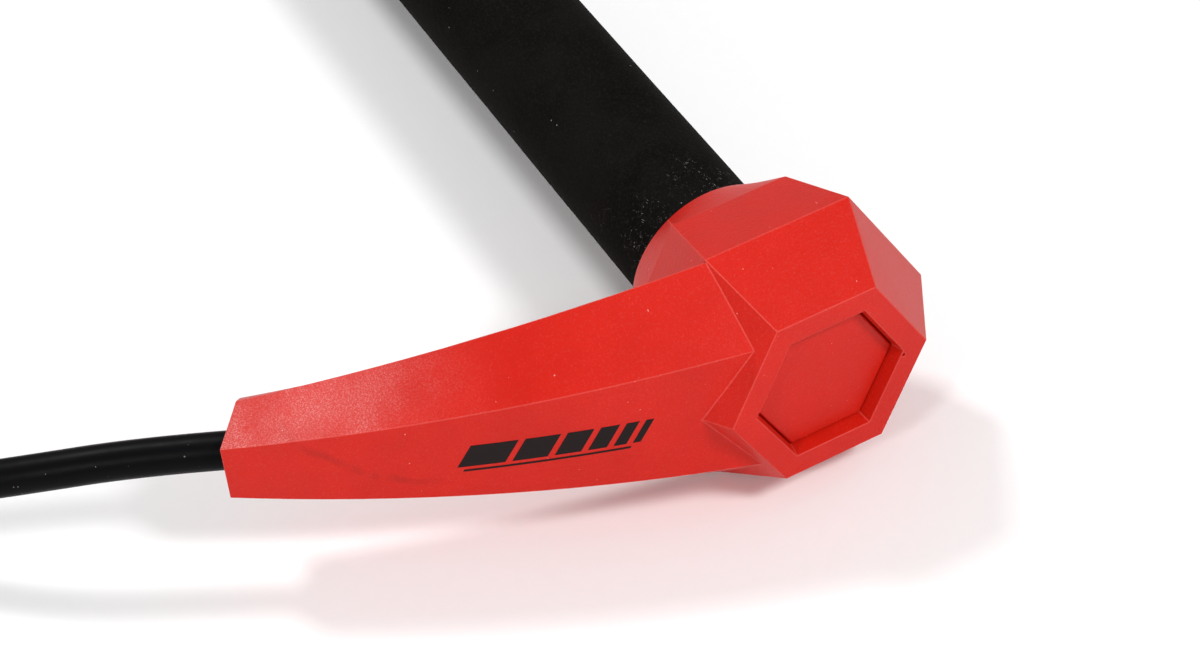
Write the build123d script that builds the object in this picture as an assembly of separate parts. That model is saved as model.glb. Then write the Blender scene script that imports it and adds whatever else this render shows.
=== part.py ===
from build123d import *
import os
from math import atan2, cos, degrees, pi, radians, sin, sqrt, tan

# Water-sports tow handle: a straight suede-covered grip bar between two faceted rubber end caps.
# Each cap is a six-sided double cone whose tail curves inboard and guides the bridle rope.
# Frame: +X along the bar to the right cap, -Y towards the boat, +Z up, the handle lying flat on z = 0.
# Units: millimetres and degrees.

# Whole handle
overall_width = 380.0
bar_axis_y = 33.99
toe_angle = 3.26
head_lead = 1.30

# Grip bar
grip_diameter = 28.0
suede_thickness = 0.5
tube_diameter = 22.2
tube_wall = 1.6
sleeve_clearance = 0.05
layer_gap = 0.02

# Head of the end cap: circumradius and outboard distance of each six-sided ring
ring_radius, ring_offset = 20.15, 15.20
girdle_radius = 29.30
rear_radius, rear_offset = 23.65, -16.40
collar_radius, collar_offset = 17.10, -24.40

# Tail of the end cap, as (forward, outboard) from the centre of the girdle
tail_root = (14.03, 13.00)
tail_tip = (98.50, -26.10)
tail_bulge = 3.16
ridge_inset = 12.0
end_face_heading = 38.6

# Tail section: each size at the root, and how it changes with the share and the squared share of the length
face_half_terms = (13.4, -6.9, -0.65)
ridge_height_terms = (25.9, -18.0, -2.1)
inner_inset_terms = (24.5, -10.7, 0.0)
inner_half_terms = (13.2, -8.3, 0.0)
tail_shares = [0.05, 0.26, 0.47, 0.68, 0.89, 1.10]
root_share, root_ridge_slide = -0.05, 0.47

# Cover recess and knot chamber
recess_mouth_radius = 15.25
pocket_radius = 14.60
recess_depth = 2.5
cover_radius = 14.45
cover_thickness = 4.0
cover_bevel = 0.35
chamber_back, chamber_front, chamber_half_height = -9.5, 10.0, 8.0
chamber_floor = -8.0
vent_radius, vent_depth = 0.32, 1.5
vent_forward, vent_up = -15.33, -1.10

# Bar socket inside the head
tube_end = -10.5
grip_end = -19.5
socket_clearance = 0.15
socket_depth_spare = 0.2
socket_run_out = 6.0

# Cap fixing screw
screw_radius = 2.0
screw_length = 18.0
screw_head_radius, screw_head_height = 3.9, 1.9
hex_socket_radius, hex_socket_floor = 1.7, 0.7
screw_hole_clearance = 0.2
spot_face_depth, spot_face_clearance = 0.3, 0.3
washer_radius, washer_thickness = 4.6, 0.8
washer_hole_clearance = 0.15
insert_length, insert_floor = 24.0, 5.0

# Bridle rope
rope_diameter = 7.0
bore_clearance = 0.10
exit_point = (94.68, -30.90)
exit_heading = 32.05
bore_radius_of_bend = 215.0
bore_run_in, bore_run_out_angle = 2.0, 3.0
knot_radius, knot_length, knot_edge_radius = 5.9, 13.0, 2.8
stopper_radius, stopper_thickness = 5.6, 1.5
stopper_setback = 0.95

# Bridle rope put away in a coil on the floor
coil_centre = (0.0, -122.0)
coil_inner_radius, coil_outer_radius = 31.5, 49.0
coil_bottom, coil_top = 1.1, 15.3
coil_edge_radius = 3.0
tie_width, tie_thickness, tie_gap = 16.0, 1.0, 0.10

# The route of each lead, from the tail of its cap to the coil, and how much of a run each bend may take
bend_share = 0.45
right_lead = [
    (148.22, -60.99, 25.37),
    (140.60, -75.40, 24.75),
    (130.90, -96.00, 22.40),
    (118.50, -113.80, 17.30),
    (103.00, -129.60, 11.60),
    (84.50, -143.20, 7.00),
    (63.50, -154.20, 4.40),
    (40.50, -162.20, 3.60),
    (17.00, -166.80, 4.20),
    (0.00, -167.50, 4.60),
]
left_lead = [
    (-148.22, -60.99, 25.37),
    (-140.30, -75.70, 24.60),
    (-130.20, -96.30, 21.80),
    (-117.80, -114.60, 16.40),
    (-102.60, -131.00, 10.40),
    (-84.20, -145.20, 6.20),
    (-64.00, -156.00, 5.60),
    (-43.50, -163.40, 8.90),
    (-24.50, -167.00, 11.70),
    (-8.00, -167.60, 11.90),
    (0.00, -167.50, 11.70),
]

bar_axis_z = girdle_radius * sin(radians(60))
head_y = bar_axis_y + head_lead
toe = radians(toe_angle)
head_x = overall_width / 2 - ring_offset * cos(toe) - ring_radius * sin(toe)
grip_radius = grip_diameter / 2
tube_radius = tube_diameter / 2
rope_radius = rope_diameter / 2
washer_seat = head_x + chamber_floor - spot_face_depth


def local(forward, outboard, up=0.0):
    """A point of the right cap in its own frame: X outboard along the head, -Y forward, Z up."""
    return (outboard, -forward, up)


def in_place(solid):
    """The right cap's own frame moved to the end of the bar and toed out."""
    return Pos(head_x, head_y, bar_axis_z) * Rot(0, 0, toe_angle) * solid


def along_bar(x):
    """A plane across the bar at x, facing +X, whose own X is the handle's Y."""
    return Plane(origin=(x, bar_axis_y, bar_axis_z), x_dir=(0, 1, 0), z_dir=(1, 0, 0))


def polygon(points):
    return make_face(Polyline(*points, close=True))


def ring_points(radius, outboard):
    """Corners of a six-sided ring with one corner forward."""
    turns = [radians(60 * k) for k in range(6)]
    return [local(radius * cos(t), outboard, radius * sin(t)) for t in turns]


def hexagon(radius, outboard):
    return polygon(ring_points(radius, outboard))


def round_ring(radius, outboard):
    """A circle in six arcs that start where a six-sided ring has its corners."""
    corners = ring_points(radius, outboard)
    turns = [radians(60 * k + 30) for k in range(6)]
    middles = [local(radius * cos(t), outboard, radius * sin(t)) for t in turns]
    arcs = [ThreePointArc(corners[k], middles[k], corners[(k + 1) % 6]) for k in range(6)]
    return make_face(arcs)


def head():
    """Two six-sided cones base to base, and a collar that turns from six-sided to round."""
    body = loft([hexagon(ring_radius, ring_offset), hexagon(girdle_radius, 0)], ruled=True)
    body += loft([hexagon(girdle_radius, 0), hexagon(rear_radius, rear_offset)], ruled=True)
    collar = loft([hexagon(rear_radius, rear_offset), round_ring(collar_radius, collar_offset)], ruled=True)
    return body + collar


def tail_station(s):
    """Point and inboard direction of the tail's outboard face at share s of its length, in plan."""
    run = (tail_tip[0] - tail_root[0], tail_tip[1] - tail_root[1])
    length = sqrt(run[0] ** 2 + run[1] ** 2)
    outward = (-run[1] / length, run[0] / length)
    bow = 4 * tail_bulge * s * (1 - s)
    point = [tail_root[k] + s * run[k] + bow * outward[k] for k in range(2)]
    slope = [run[k] + 4 * tail_bulge * (1 - 2 * s) * outward[k] for k in range(2)]
    steep = sqrt(slope[0] ** 2 + slope[1] ** 2)
    return point, (slope[1] / steep, -slope[0] / steep)


def at_share(terms, s):
    return terms[0] + terms[1] * s + terms[2] * s**2


def tail_section(s, ridge_slide=0.0):
    """The tail's six-sided section: outboard face, top and bottom ridges, and inboard face.

    The ridges can slide back by a share of their outboard slopes, which stay in plane."""
    point, inboard = tail_station(s)
    face_half = at_share(face_half_terms, s)
    ridge_height = at_share(ridge_height_terms, s)
    inner_inset = at_share(inner_inset_terms, s)
    inner_half = at_share(inner_half_terms, s)

    def at(inset, up):
        return local(point[0] + inset * inboard[0], point[1] + inset * inboard[1], up)

    ridge_in = ridge_inset * (1 - ridge_slide)
    ridge_up = ridge_height - ridge_slide * (ridge_height - face_half)
    upper = [at(0, face_half), at(ridge_in, ridge_up), at(inner_inset, inner_half)]
    lower = [at(inner_inset, -inner_half), at(ridge_in, -ridge_up), at(0, -face_half)]
    return polygon(upper + lower)


def end_cut():
    """The waste beyond the tail's end face, as a box larger than the tail's end."""
    size = 2 * girdle_radius
    waste = Box(size, size, size, align=(Align.CENTER, Align.MAX, Align.CENTER))
    x, y, _ = local(*tail_tip)
    return Pos(x, y, 0) * Rot(0, 0, -end_face_heading) * waste


def tail():
    """The tail, whose faces run on inside the head."""
    first = tail_section(tail_shares[0])
    root = loft([tail_section(root_share, root_ridge_slide), first], ruled=True)
    return root + (loft([tail_section(s) for s in tail_shares]) - end_cut())


def rope_arc(start_angle, end_angle):
    """The rope's line through the tail: an arc that meets the exit point at angle 0."""
    turn = radians(exit_heading)
    centre = [
        exit_point[0] - bore_radius_of_bend * sin(turn),
        exit_point[1] - bore_radius_of_bend * cos(turn),
    ]

    def at(angle):
        heading = turn + radians(angle)
        return local(
            centre[0] + bore_radius_of_bend * sin(heading),
            centre[1] + bore_radius_of_bend * cos(heading),
        )

    return ThreePointArc(at(start_angle), at((start_angle + end_angle) / 2), at(end_angle))


def round_sweep(path, radius):
    section = Plane(origin=path @ 0, z_dir=path % 0) * Circle(radius)
    return sweep(section, path=path)


def arc_angle_at(forward):
    """The angle along the rope's arc where it is that far forward of the head's axis."""
    turn = radians(exit_heading)
    reach = sin(turn) - (exit_point[0] - forward) / bore_radius_of_bend
    return degrees(atan2(reach, sqrt(1 - reach**2)) - turn)


def bar_bore(start, end, radius):
    """A round hole on the bar's axis between two distances outboard of the girdle."""
    return extrude(along_bar(head_x + start) * Circle(radius), end - start)


def end_cap():
    body = head() + tail()
    floor = ring_offset - recess_depth
    seat = floor - cover_thickness
    mouth = loft([hexagon(recess_mouth_radius, ring_offset), hexagon(pocket_radius, floor)], ruled=True)
    pocket = loft([hexagon(pocket_radius, floor), hexagon(pocket_radius, seat)], ruled=True)
    chamber_size = (seat - chamber_floor, chamber_front - chamber_back, 2 * chamber_half_height)
    chamber = Pos(*local(chamber_back, chamber_floor)) * Box(
        *chamber_size, align=(Align.MIN, Align.MAX, Align.CENTER)
    )
    bore_start = arc_angle_at(chamber_front - bore_run_in)
    bore = round_sweep(rope_arc(bore_start, bore_run_out_angle), rope_radius + bore_clearance)
    vent = Pos(*local(vent_forward, ring_offset - vent_depth, vent_up)) * Rot(0, 90, 0) * Cylinder(
        vent_radius, vent_depth, align=(Align.CENTER, Align.CENTER, Align.MIN)
    )
    body = in_place(body - mouth - pocket - chamber - bore - vent)
    past_collar = collar_offset - socket_run_out
    grip_socket = bar_bore(past_collar, grip_end + socket_depth_spare, grip_radius + socket_clearance)
    tube_socket = bar_bore(past_collar, tube_end + socket_depth_spare / 2, tube_radius + sleeve_clearance)
    screw_hole = bar_bore(tube_end, seat, screw_radius + screw_hole_clearance)
    spot_face = bar_bore(washer_seat - head_x, seat, washer_radius + spot_face_clearance)
    return body - grip_socket - tube_socket - screw_hole - spot_face


def cover():
    """The six-sided cover that closes the knot chamber, with bevelled front edges."""
    front = ring_offset - recess_depth
    back = front - cover_thickness + sleeve_clearance
    plate = loft([hexagon(cover_radius, front - cover_bevel), hexagon(cover_radius, back)], ruled=True)
    rim = loft(
        [hexagon(cover_radius - cover_bevel, front), hexagon(cover_radius, front - cover_bevel)],
        ruled=True,
    )
    return in_place(plate + rim)


def rope_end():
    """The rope from the stopper knot, through the tail's bore, to the tail's end face."""
    start = arc_angle_at(knot_length / 2)
    return in_place(round_sweep(rope_arc(start, 0.0), rope_radius))


def stopper_knot():
    """The knot as a rounded lump in line with the rope's start."""
    start = rope_arc(arc_angle_at(knot_length / 2), 0.0)
    lump = extrude(Plane(origin=start @ 0, z_dir=start % 0) * Circle(knot_radius), -knot_length)
    return in_place(fillet(lump.edges().filter_by(GeomType.CIRCLE), knot_edge_radius))


def stopper():
    """The washer that the knot pulls against, at the mouth of the tail's bore."""
    line = rope_arc(arc_angle_at(chamber_front - stopper_thickness - stopper_setback), 0.0)
    plate = Plane(origin=line @ 0, z_dir=line % 0)
    ring = Circle(stopper_radius) - Circle(rope_radius + bore_clearance)
    return in_place(extrude(plate * ring, stopper_thickness))


def cap_screw():
    seat = washer_seat + washer_thickness
    shank = extrude(along_bar(seat) * Circle(screw_radius), -screw_length)
    cheese = extrude(along_bar(seat) * Circle(screw_head_radius), screw_head_height)
    socket = extrude(
        along_bar(seat + hex_socket_floor) * RegularPolygon(hex_socket_radius, 6), screw_head_height
    )
    return shank + cheese - socket


def screw_washer():
    ring = Circle(washer_radius) - Circle(screw_radius + washer_hole_clearance)
    return extrude(along_bar(washer_seat) * ring, washer_thickness)


def tube_insert():
    """The plug that seals the tube's end and takes the screw."""
    outer = Circle(tube_radius - tube_wall - sleeve_clearance)
    ring = outer - Circle(screw_radius + layer_gap)
    start = head_x + tube_end - insert_length
    blind = extrude(along_bar(start) * outer, insert_floor)
    return blind + extrude(along_bar(start + insert_floor) * ring, insert_length - insert_floor)


def bar_tube():
    half = head_x + tube_end
    ring = Circle(tube_radius) - Circle(tube_radius - tube_wall)
    return extrude(along_bar(-half) * ring, 2 * half)


def grip_layer(inner, outer):
    """A sleeve on the bar that ends inside both caps' collars."""
    half = head_x + grip_end
    return extrude(along_bar(-half) * (Circle(outer) - Circle(inner)), 2 * half)


def bend_radii(points):
    """For each inner point, the radius of an arc as large as the runs beside it allow."""
    radii = []
    for before, here, after in zip(points, points[1:], points[2:]):
        first, second = Vector(here) - Vector(before), Vector(after) - Vector(here)
        half_turn = radians(first.get_angle(second)) / 2
        radii.append(bend_share * min(first.length, second.length) / tan(half_turn))
    return radii


def rope_lead(name, points):
    radii = bend_radii(points)
    path = FilletPolyline(*points, radius=radii)
    tube = round_sweep(path, rope_radius)
    print(name, "radii", [round(r) for r in radii], "length", round(path.length, 1))
    print(name, "volume / (section x length)", round(tube.volume / (pi * rope_radius**2 * path.length), 4))
    return tube


def rope_coil():
    """The outer shape of the put-away turns: a ring with rounded edges."""
    width, height = coil_outer_radius - coil_inner_radius, coil_top - coil_bottom
    middle = (coil_outer_radius + coil_inner_radius) / 2
    section = Plane.XZ * Pos(middle, (coil_top + coil_bottom) / 2) * RectangleRounded(
        width, height, coil_edge_radius
    )
    return Pos(*coil_centre, 0) * revolve(section, Axis.Z)


def coil_tie():
    """A strap once round the bundle of turns, on the left side of the coil."""
    inner_wall = sqrt(coil_inner_radius**2 - (tie_width / 2) ** 2) - tie_gap
    width = coil_outer_radius + tie_gap - inner_wall
    height = coil_top - coil_bottom + 2 * tie_gap
    middle = (coil_outer_radius + tie_gap + inner_wall) / 2
    loop = Rectangle(width + 2 * tie_thickness, height + 2 * tie_thickness) - Rectangle(width, height)
    place = Plane.XZ * Pos(-middle, (coil_top + coil_bottom) / 2)
    strap = extrude(place * loop, tie_width / 2, both=True)
    return Pos(*coil_centre, 0) * strap


def write(name, shape):
    shape.label = name
    export_step(shape, f"parts/{name}.step")


def main():
    os.makedirs("parts", exist_ok=True)
    sided = {
        "end_cap": end_cap(),
        "knot_cover": cover(),
        "rope_end": rope_end(),
        "stopper_knot": stopper_knot(),
        "stopper_washer": stopper(),
        "cap_screw": cap_screw(),
        "screw_washer": screw_washer(),
        "tube_insert": tube_insert(),
    }
    for name, solid in sided.items():
        write(f"{name}_right", solid)
        write(f"{name}_left", mirror(solid, about=Plane.YZ))
    write("bar_tube", bar_tube())
    core_outer = grip_radius - suede_thickness - layer_gap
    write("grip_core", grip_layer(tube_radius + layer_gap, core_outer))
    write("grip_suede", grip_layer(grip_radius - suede_thickness, grip_radius))
    write("rope_lead_right", rope_lead("right lead", right_lead))
    write("rope_lead_left", rope_lead("left lead", left_lead))
    write("rope_coil", rope_coil())
    write("coil_tie", coil_tie())
    box = sided["end_cap"].bounding_box()
    print("right cap box", box.min, box.max, "centre in Y", round((box.min.Y + box.max.Y) / 2, 3))


main()
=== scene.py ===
import math

import bpy
import numpy as np
from bpy.props import FloatProperty, FloatVectorProperty, IntProperty, PointerProperty
from mathutils import Matrix, Vector


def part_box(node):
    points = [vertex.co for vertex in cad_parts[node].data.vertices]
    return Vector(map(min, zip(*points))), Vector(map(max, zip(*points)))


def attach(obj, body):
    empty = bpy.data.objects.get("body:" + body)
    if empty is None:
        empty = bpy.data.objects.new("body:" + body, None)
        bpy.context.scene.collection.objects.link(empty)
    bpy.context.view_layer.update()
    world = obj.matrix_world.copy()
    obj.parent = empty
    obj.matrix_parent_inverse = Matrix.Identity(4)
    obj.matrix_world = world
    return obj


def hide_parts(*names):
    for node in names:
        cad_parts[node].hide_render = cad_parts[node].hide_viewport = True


bl_info = {
    "name": "Tow handle",
    "version": (1, 0, 0),
    "blender": (4, 5, 0),
    "location": "3D View > Sidebar > Tow handle",
    "description": "Finishes the pieces of a water-sports tow handle and sets its stage",
    "category": "Object",
}

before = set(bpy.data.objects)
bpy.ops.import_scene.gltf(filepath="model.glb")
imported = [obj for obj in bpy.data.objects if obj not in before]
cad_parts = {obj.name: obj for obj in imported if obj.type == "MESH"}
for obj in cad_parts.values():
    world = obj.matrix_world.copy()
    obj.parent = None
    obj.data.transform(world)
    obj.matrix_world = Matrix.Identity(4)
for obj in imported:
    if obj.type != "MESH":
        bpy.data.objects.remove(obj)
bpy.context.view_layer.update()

SIDES = ("right", "left")
ROOT = "handle"
MM = 0.001


# Sizes, colours and stage settings that a user would change


def length(name, description, millimetres):
    return FloatProperty(
        name=name, description=description, default=millimetres * MM, unit="LENGTH", precision=5
    )


def angle(name, description, degrees):
    return FloatProperty(
        name=name, description=description, default=math.radians(degrees), unit="ROTATION"
    )


def watts(name, description, power):
    return FloatProperty(name=name, description=description, default=power, unit="POWER")


def colour(name, description, rgb):
    return FloatVectorProperty(
        name=name, description=description, default=rgb, subtype="COLOR", size=3, min=0.0, max=1.0
    )


class CapSizes(bpy.types.PropertyGroup):
    """Sizes of the end caps' finish and of the tail's outboard face."""

    edge_round: length("Edge round", "Width of the moulded round on every outer edge", 0.15)
    cover_round: length("Cover round", "Width of the round on the cover's edges", 0.15)
    head_centre: length("Head centre", "Distance of the head's widest ring from the handle's middle", 173.68)
    head_line: length("Head line", "The head's axis in Y", 35.29)
    toe: angle("Toe", "How far the heads are turned outwards", 3.26)
    root_forward: length("Root forward", "Start of the tail's outboard face, ahead of the axis", 14.03)
    root_outboard: length("Root outboard", "Start of the tail's outboard face, outboard of the ring", 13.0)
    tip_forward: length("Tip forward", "End of the tail's outboard face, ahead of the head's axis", 98.5)
    tip_outboard: length("Tip outboard", "End of the tail's outboard face, outboard of the ring", -26.1)
    bulge: length("Bulge", "How far the outboard face bows out of its chord", 3.16)


class MarkSizes(bpy.types.PropertyGroup):
    """Sizes of the printed stripes on each tail."""

    height: length("Height", "Height of the stripes", 4.8)
    line_height: length("Line height", "Height of the thin line under the stripes", 0.45)
    line_drop: length("Line drop", "How far the thin line lies under the stripes' middle", 3.3)
    thickness: length("Thickness", "Thickness of the ink", 0.03)
    slant: length("Slant", "How far a stripe's top leans towards the head", 2.6)
    centre_drop: length("Centre drop", "How far the stripes' middle lies under the cap's middle", -0.1)


class GripSizes(bpy.types.PropertyGroup):
    """Sizes of the suede wrap."""

    thickness: length("Thickness", "Thickness of the suede", 0.5)
    waviness: length("Waviness", "Unevenness left by wrapping", 0.07)
    seam_depth: length("Seam depth", "Depth of the butt seam", 0.3)
    seam_width: length("Seam width", "Width of the butt seam", 0.9)
    seam_turn: angle("Seam turn", "Where the seam lies, turned from straight up towards the rider", 118)


class RopeSizes(bpy.types.PropertyGroup):
    """Sizes of the bridle rope, its coil and its tie."""

    diameter: length("Diameter", "Outside diameter of the coated rope", 7.0)
    coil_x: length("Coil X", "Middle of the coil in X", 0.0)
    coil_y: length("Coil Y", "Middle of the coil in Y", -122.0)
    coil_radius: length("Coil radius", "Radius of the first turn", 45.5)
    pitch: length("Pitch", "Distance between turns that lie side by side", 7.12)
    layer_rise: length("Layer rise", "Height of the second layer over the first", 7.1)
    first_layer: length("First layer", "Height of the first layer's middle", 4.6)
    turns: IntProperty(name="Turns", description="Whole turns in the coil", default=3, min=1)
    points_per_turn: IntProperty(name="Points per turn", description="Route points in a turn", default=16)
    tie_width: length("Tie width", "Width of the strap round the coil", 16.0)
    tie_thickness: length("Tie thickness", "Thickness of the strap", 0.9)
    knot_strand: length("Knot strand", "Radius of the core rope in the stopper knot", 1.75)
    knot_scale: length("Knot scale", "A third of the knot's reach from its middle to a strand", 1.38)


class HandleColours(bpy.types.PropertyGroup):
    """Colours of the finishes, as linear values."""

    cap: colour("Cap", "Moulded red rubber", (0.585, 0.0105, 0.0035))
    # Partly rubbed wear and partly a painted highlight: the rounded edges are made paler so each ridge shows
    # a light line.
    cap_wear_and_highlight: colour("Worn cap", "Red rubber where edges are rubbed", (0.64, 0.045, 0.034))
    # This colour is used for real specks and scratches and also for the painted sheen on the tails' ends.
    dust_and_sheen: colour("Dust", "Specks and fine scratches on the rubber", (0.82, 0.42, 0.40))
    flow_line: colour("Flow line", "Dark line left in the rubber by moulding", (0.25, 0.006, 0.004))
    suede: colour("Suede", "Brushed black suede", (0.0028, 0.0024, 0.0020))
    suede_nap: colour("Suede nap", "Suede brushed the other way", (0.0068, 0.0060, 0.0052))
    suede_sheen: colour("Suede sheen", "Tint of the suede's soft sheen", (0.75, 0.70, 0.66))
    lint: colour("Lint", "Lint caught on the suede", (0.42, 0.42, 0.42))
    rope: colour("Rope", "Black coated rope", (0.0024, 0.0024, 0.0029))
    ink: colour("Ink", "Printed stripes", (0.012, 0.007, 0.007))
    thin_ink: colour("Thin ink", "Stripes where the ink is thin", (0.09, 0.012, 0.010))
    webbing: colour("Webbing", "Strap round the coil", (0.020, 0.020, 0.022))
    # Painted shade: the gaps between the strap's threads are given a darker colour.
    webbing_gap_shade: colour("Webbing gap", "Gaps between the strap's threads", (0.004, 0.004, 0.004))
    steel: colour("Steel", "Screws and washers", (0.52, 0.52, 0.53))
    aluminium: colour("Aluminium", "Bar tube", (0.66, 0.67, 0.69))
    nylon: colour("Nylon", "Stopper washers", (0.58, 0.57, 0.53))
    insert: colour("Insert", "Tube inserts", (0.03, 0.03, 0.03))
    foam: colour("Foam", "Grip core", (0.020, 0.020, 0.021))
    core_rope: colour("Core rope", "Braided core of the rope, tied in the knots", (0.55, 0.54, 0.50))
    # Painted shade: the gaps between the core's strands are given a darker colour.
    core_gap_shade: colour("Core gap", "Gaps between the core's strands", (0.12, 0.11, 0.09))
    floor: colour("Floor", "Studio floor", (0.95, 0.95, 0.95))


class StageSettings(bpy.types.PropertyGroup):
    """Where the camera stands and how bright the lights are."""

    azimuth: angle("Azimuth", "Camera's turn round the handle", 67.674)
    elevation: angle("Elevation", "Camera's height over the horizon", 41.375)
    roll: angle("Roll", "Camera's turn about its own line of sight", -6.494)
    distance: length("Distance", "From the camera to the point it looks at", 587.10)
    aim: FloatVectorProperty(
        name="Aim",
        description="Point the camera looks at",
        default=(0.1552, 0.00765, 0.02537),
        unit="LENGTH",
    )
    lens: FloatProperty(name="Lens", description="Focal length", default=98.01, unit="CAMERA")
    right_power: watts("Right", "Power of the right softbox", 10.0)
    left_power: watts("Left", "Power of the left softbox", 4.6)
    back_power: watts("Back", "Power of the back softbox", 7.8)
    ambient: FloatProperty(name="Ambient", description="Strength of the studio's white walls", default=0.36)


def settings(name):
    return getattr(bpy.context.scene, "tow_handle_" + name)


# Node groups shared by the finishes: each puts out masks, values or heights that change over the surface


def add_node(tree, kind, **values):
    node = tree.nodes.new(kind)
    for key, value in values.items():
        setattr(node, key, value)
    return node


def set_inputs(node, **values):
    for key, value in values.items():
        node.inputs[key.replace("_", " ")].default_value = value
    return node


def math_node(tree, operation, first, second=None, third=None, clamp=False):
    node = add_node(tree, "ShaderNodeMath", operation=operation, use_clamp=clamp)
    for socket, value in zip(node.inputs, (first, second, third)):
        if value is None:
            continue
        if isinstance(value, (int, float)):
            socket.default_value = value
        else:
            tree.links.new(value, socket)
    return node.outputs[0]


def ramp(tree, value, low, high):
    """0 where value is at low or under, 1 at high or over, smooth between."""
    node = add_node(tree, "ShaderNodeMapRange", interpolation_type="SMOOTHSTEP")
    tree.links.new(value, node.inputs["Value"])
    for key, number in (("From Min", low), ("From Max", high)):
        if isinstance(number, (int, float)):
            node.inputs[key].default_value = number
        else:
            tree.links.new(number, node.inputs[key])
    return node.outputs["Result"]


def mix_colours(tree, factor, first, second):
    node = add_node(tree, "ShaderNodeMix", data_type="RGBA")
    for socket, value in zip((node.inputs[0], node.inputs[6], node.inputs[7]), (factor, first, second)):
        if isinstance(value, (int, float)):
            socket.default_value = value
        elif isinstance(value, bpy.types.NodeSocket):
            tree.links.new(value, socket)
        else:
            socket.default_value = (*value, 1.0)
    return node.outputs[2]


def noise(tree, vector, scale, detail=2.0, roughness=0.5, distortion=0.0):
    node = add_node(tree, "ShaderNodeTexNoise")
    set_inputs(node, Detail=detail, Roughness=roughness, Distortion=distortion)
    tree.links.new(vector, node.inputs["Vector"])
    if isinstance(scale, (int, float)):
        node.inputs["Scale"].default_value = scale
    else:
        tree.links.new(scale, node.inputs["Scale"])
    return node.outputs["Fac"]


def group(name, inputs, outputs):
    """A new node group with named sockets. Returns its tree, the values taken and the sockets to fill."""
    tree = bpy.data.node_groups.new(name, "ShaderNodeTree")
    for label, default in inputs.items():
        kind = "NodeSocketVector" if default is None else "NodeSocketFloat"
        socket = tree.interface.new_socket(label, in_out="INPUT", socket_type=kind)
        if default is not None:
            socket.default_value = default
    for label in outputs:
        tree.interface.new_socket(label, in_out="OUTPUT", socket_type="NodeSocketFloat")
    taken = add_node(tree, "NodeGroupInput").outputs
    given = add_node(tree, "NodeGroupOutput").inputs
    return tree, taken, given


def grain_group():
    """Fine moulded grain: two sizes of noise added, from a pebbled skin down to a satin bloom."""
    tree, taken, given = group("Fine grain", {"Vector": None, "Scale": 1500.0}, ["Height", "Bloom"])
    coarse = noise(tree, taken["Vector"], math_node(tree, "MULTIPLY", taken["Scale"], 0.45), 2.0)
    fine = noise(tree, taken["Vector"], taken["Scale"], 3.0, 0.65)
    total = math_node(tree, "ADD", math_node(tree, "MULTIPLY", coarse, 0.6), fine)
    tree.links.new(math_node(tree, "MULTIPLY", total, 0.6), given["Height"])
    tree.links.new(ramp(tree, fine, 0.52, 0.72), given["Bloom"])
    return tree


def cloud_group():
    """Broad, soft change over a surface, with a second finer one on it."""
    tree, taken, given = group("Cloud", {"Vector": None, "Scale": 30.0}, ["Value"])
    broad = noise(tree, taken["Vector"], taken["Scale"], 2.0)
    finer = noise(tree, taken["Vector"], math_node(tree, "MULTIPLY", taken["Scale"], 5.0), 4.0, 0.6)
    total = math_node(tree, "MULTIPLY_ADD", broad, 0.65, math_node(tree, "MULTIPLY", finer, 0.35))
    tree.links.new(ramp(tree, total, 0.33, 0.67), given["Value"])
    return tree


def specks_group():
    """Small round specks: the middles of some of the cells of a cell pattern."""
    defaults = {"Vector": None, "Scale": 230.0, "Size": 0.03, "Share": 0.3}
    tree, taken, given = group("Specks", defaults, ["Mask"])
    cells = add_node(tree, "ShaderNodeTexVoronoi")
    tree.links.new(taken["Vector"], cells.inputs["Vector"])
    tree.links.new(taken["Scale"], cells.inputs["Scale"])
    split = add_node(tree, "ShaderNodeSeparateColor")
    tree.links.new(cells.outputs["Color"], split.inputs[0])
    chosen = math_node(tree, "LESS_THAN", split.outputs["Red"], taken["Share"])
    size = math_node(tree, "MULTIPLY", taken["Size"], math_node(tree, "ADD", split.outputs["Green"], 0.35))
    near = math_node(tree, "LESS_THAN", cells.outputs["Distance"], size)
    tree.links.new(math_node(tree, "MULTIPLY", chosen, near), given["Mask"])
    return tree


def scratches_group():
    """Short fine lines: specks drawn out along two slanted directions."""
    defaults = {"Vector": None, "Scale": 60.0, "Width": 0.05, "Share": 0.3}
    tree, taken, given = group("Scratches", defaults, ["Mask"])
    masks = []
    for turn in ((0.5, 0.9, 0.4), (-0.7, 0.3, -1.0)):
        place = add_node(tree, "ShaderNodeMapping", vector_type="POINT")
        set_inputs(place, Rotation=turn, Scale=(1.0, 7.0, 7.0))
        warp = noise(tree, taken["Vector"], 120.0, 1.0)
        shift = add_node(tree, "ShaderNodeVectorMath", operation="MULTIPLY_ADD")
        tree.links.new(warp, shift.inputs[0])
        shift.inputs[1].default_value = (0.004, 0.004, 0.004)
        tree.links.new(taken["Vector"], shift.inputs[2])
        tree.links.new(shift.outputs[0], place.inputs["Vector"])
        cells = add_node(tree, "ShaderNodeGroup", node_tree=bpy.data.node_groups["Specks"])
        tree.links.new(place.outputs[0], cells.inputs["Vector"])
        tree.links.new(taken["Scale"], cells.inputs["Scale"])
        tree.links.new(taken["Width"], cells.inputs["Size"])
        tree.links.new(taken["Share"], cells.inputs["Share"])
        masks.append(cells.outputs["Mask"])
    tree.links.new(math_node(tree, "MAXIMUM", *masks), given["Mask"])
    return tree


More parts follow.
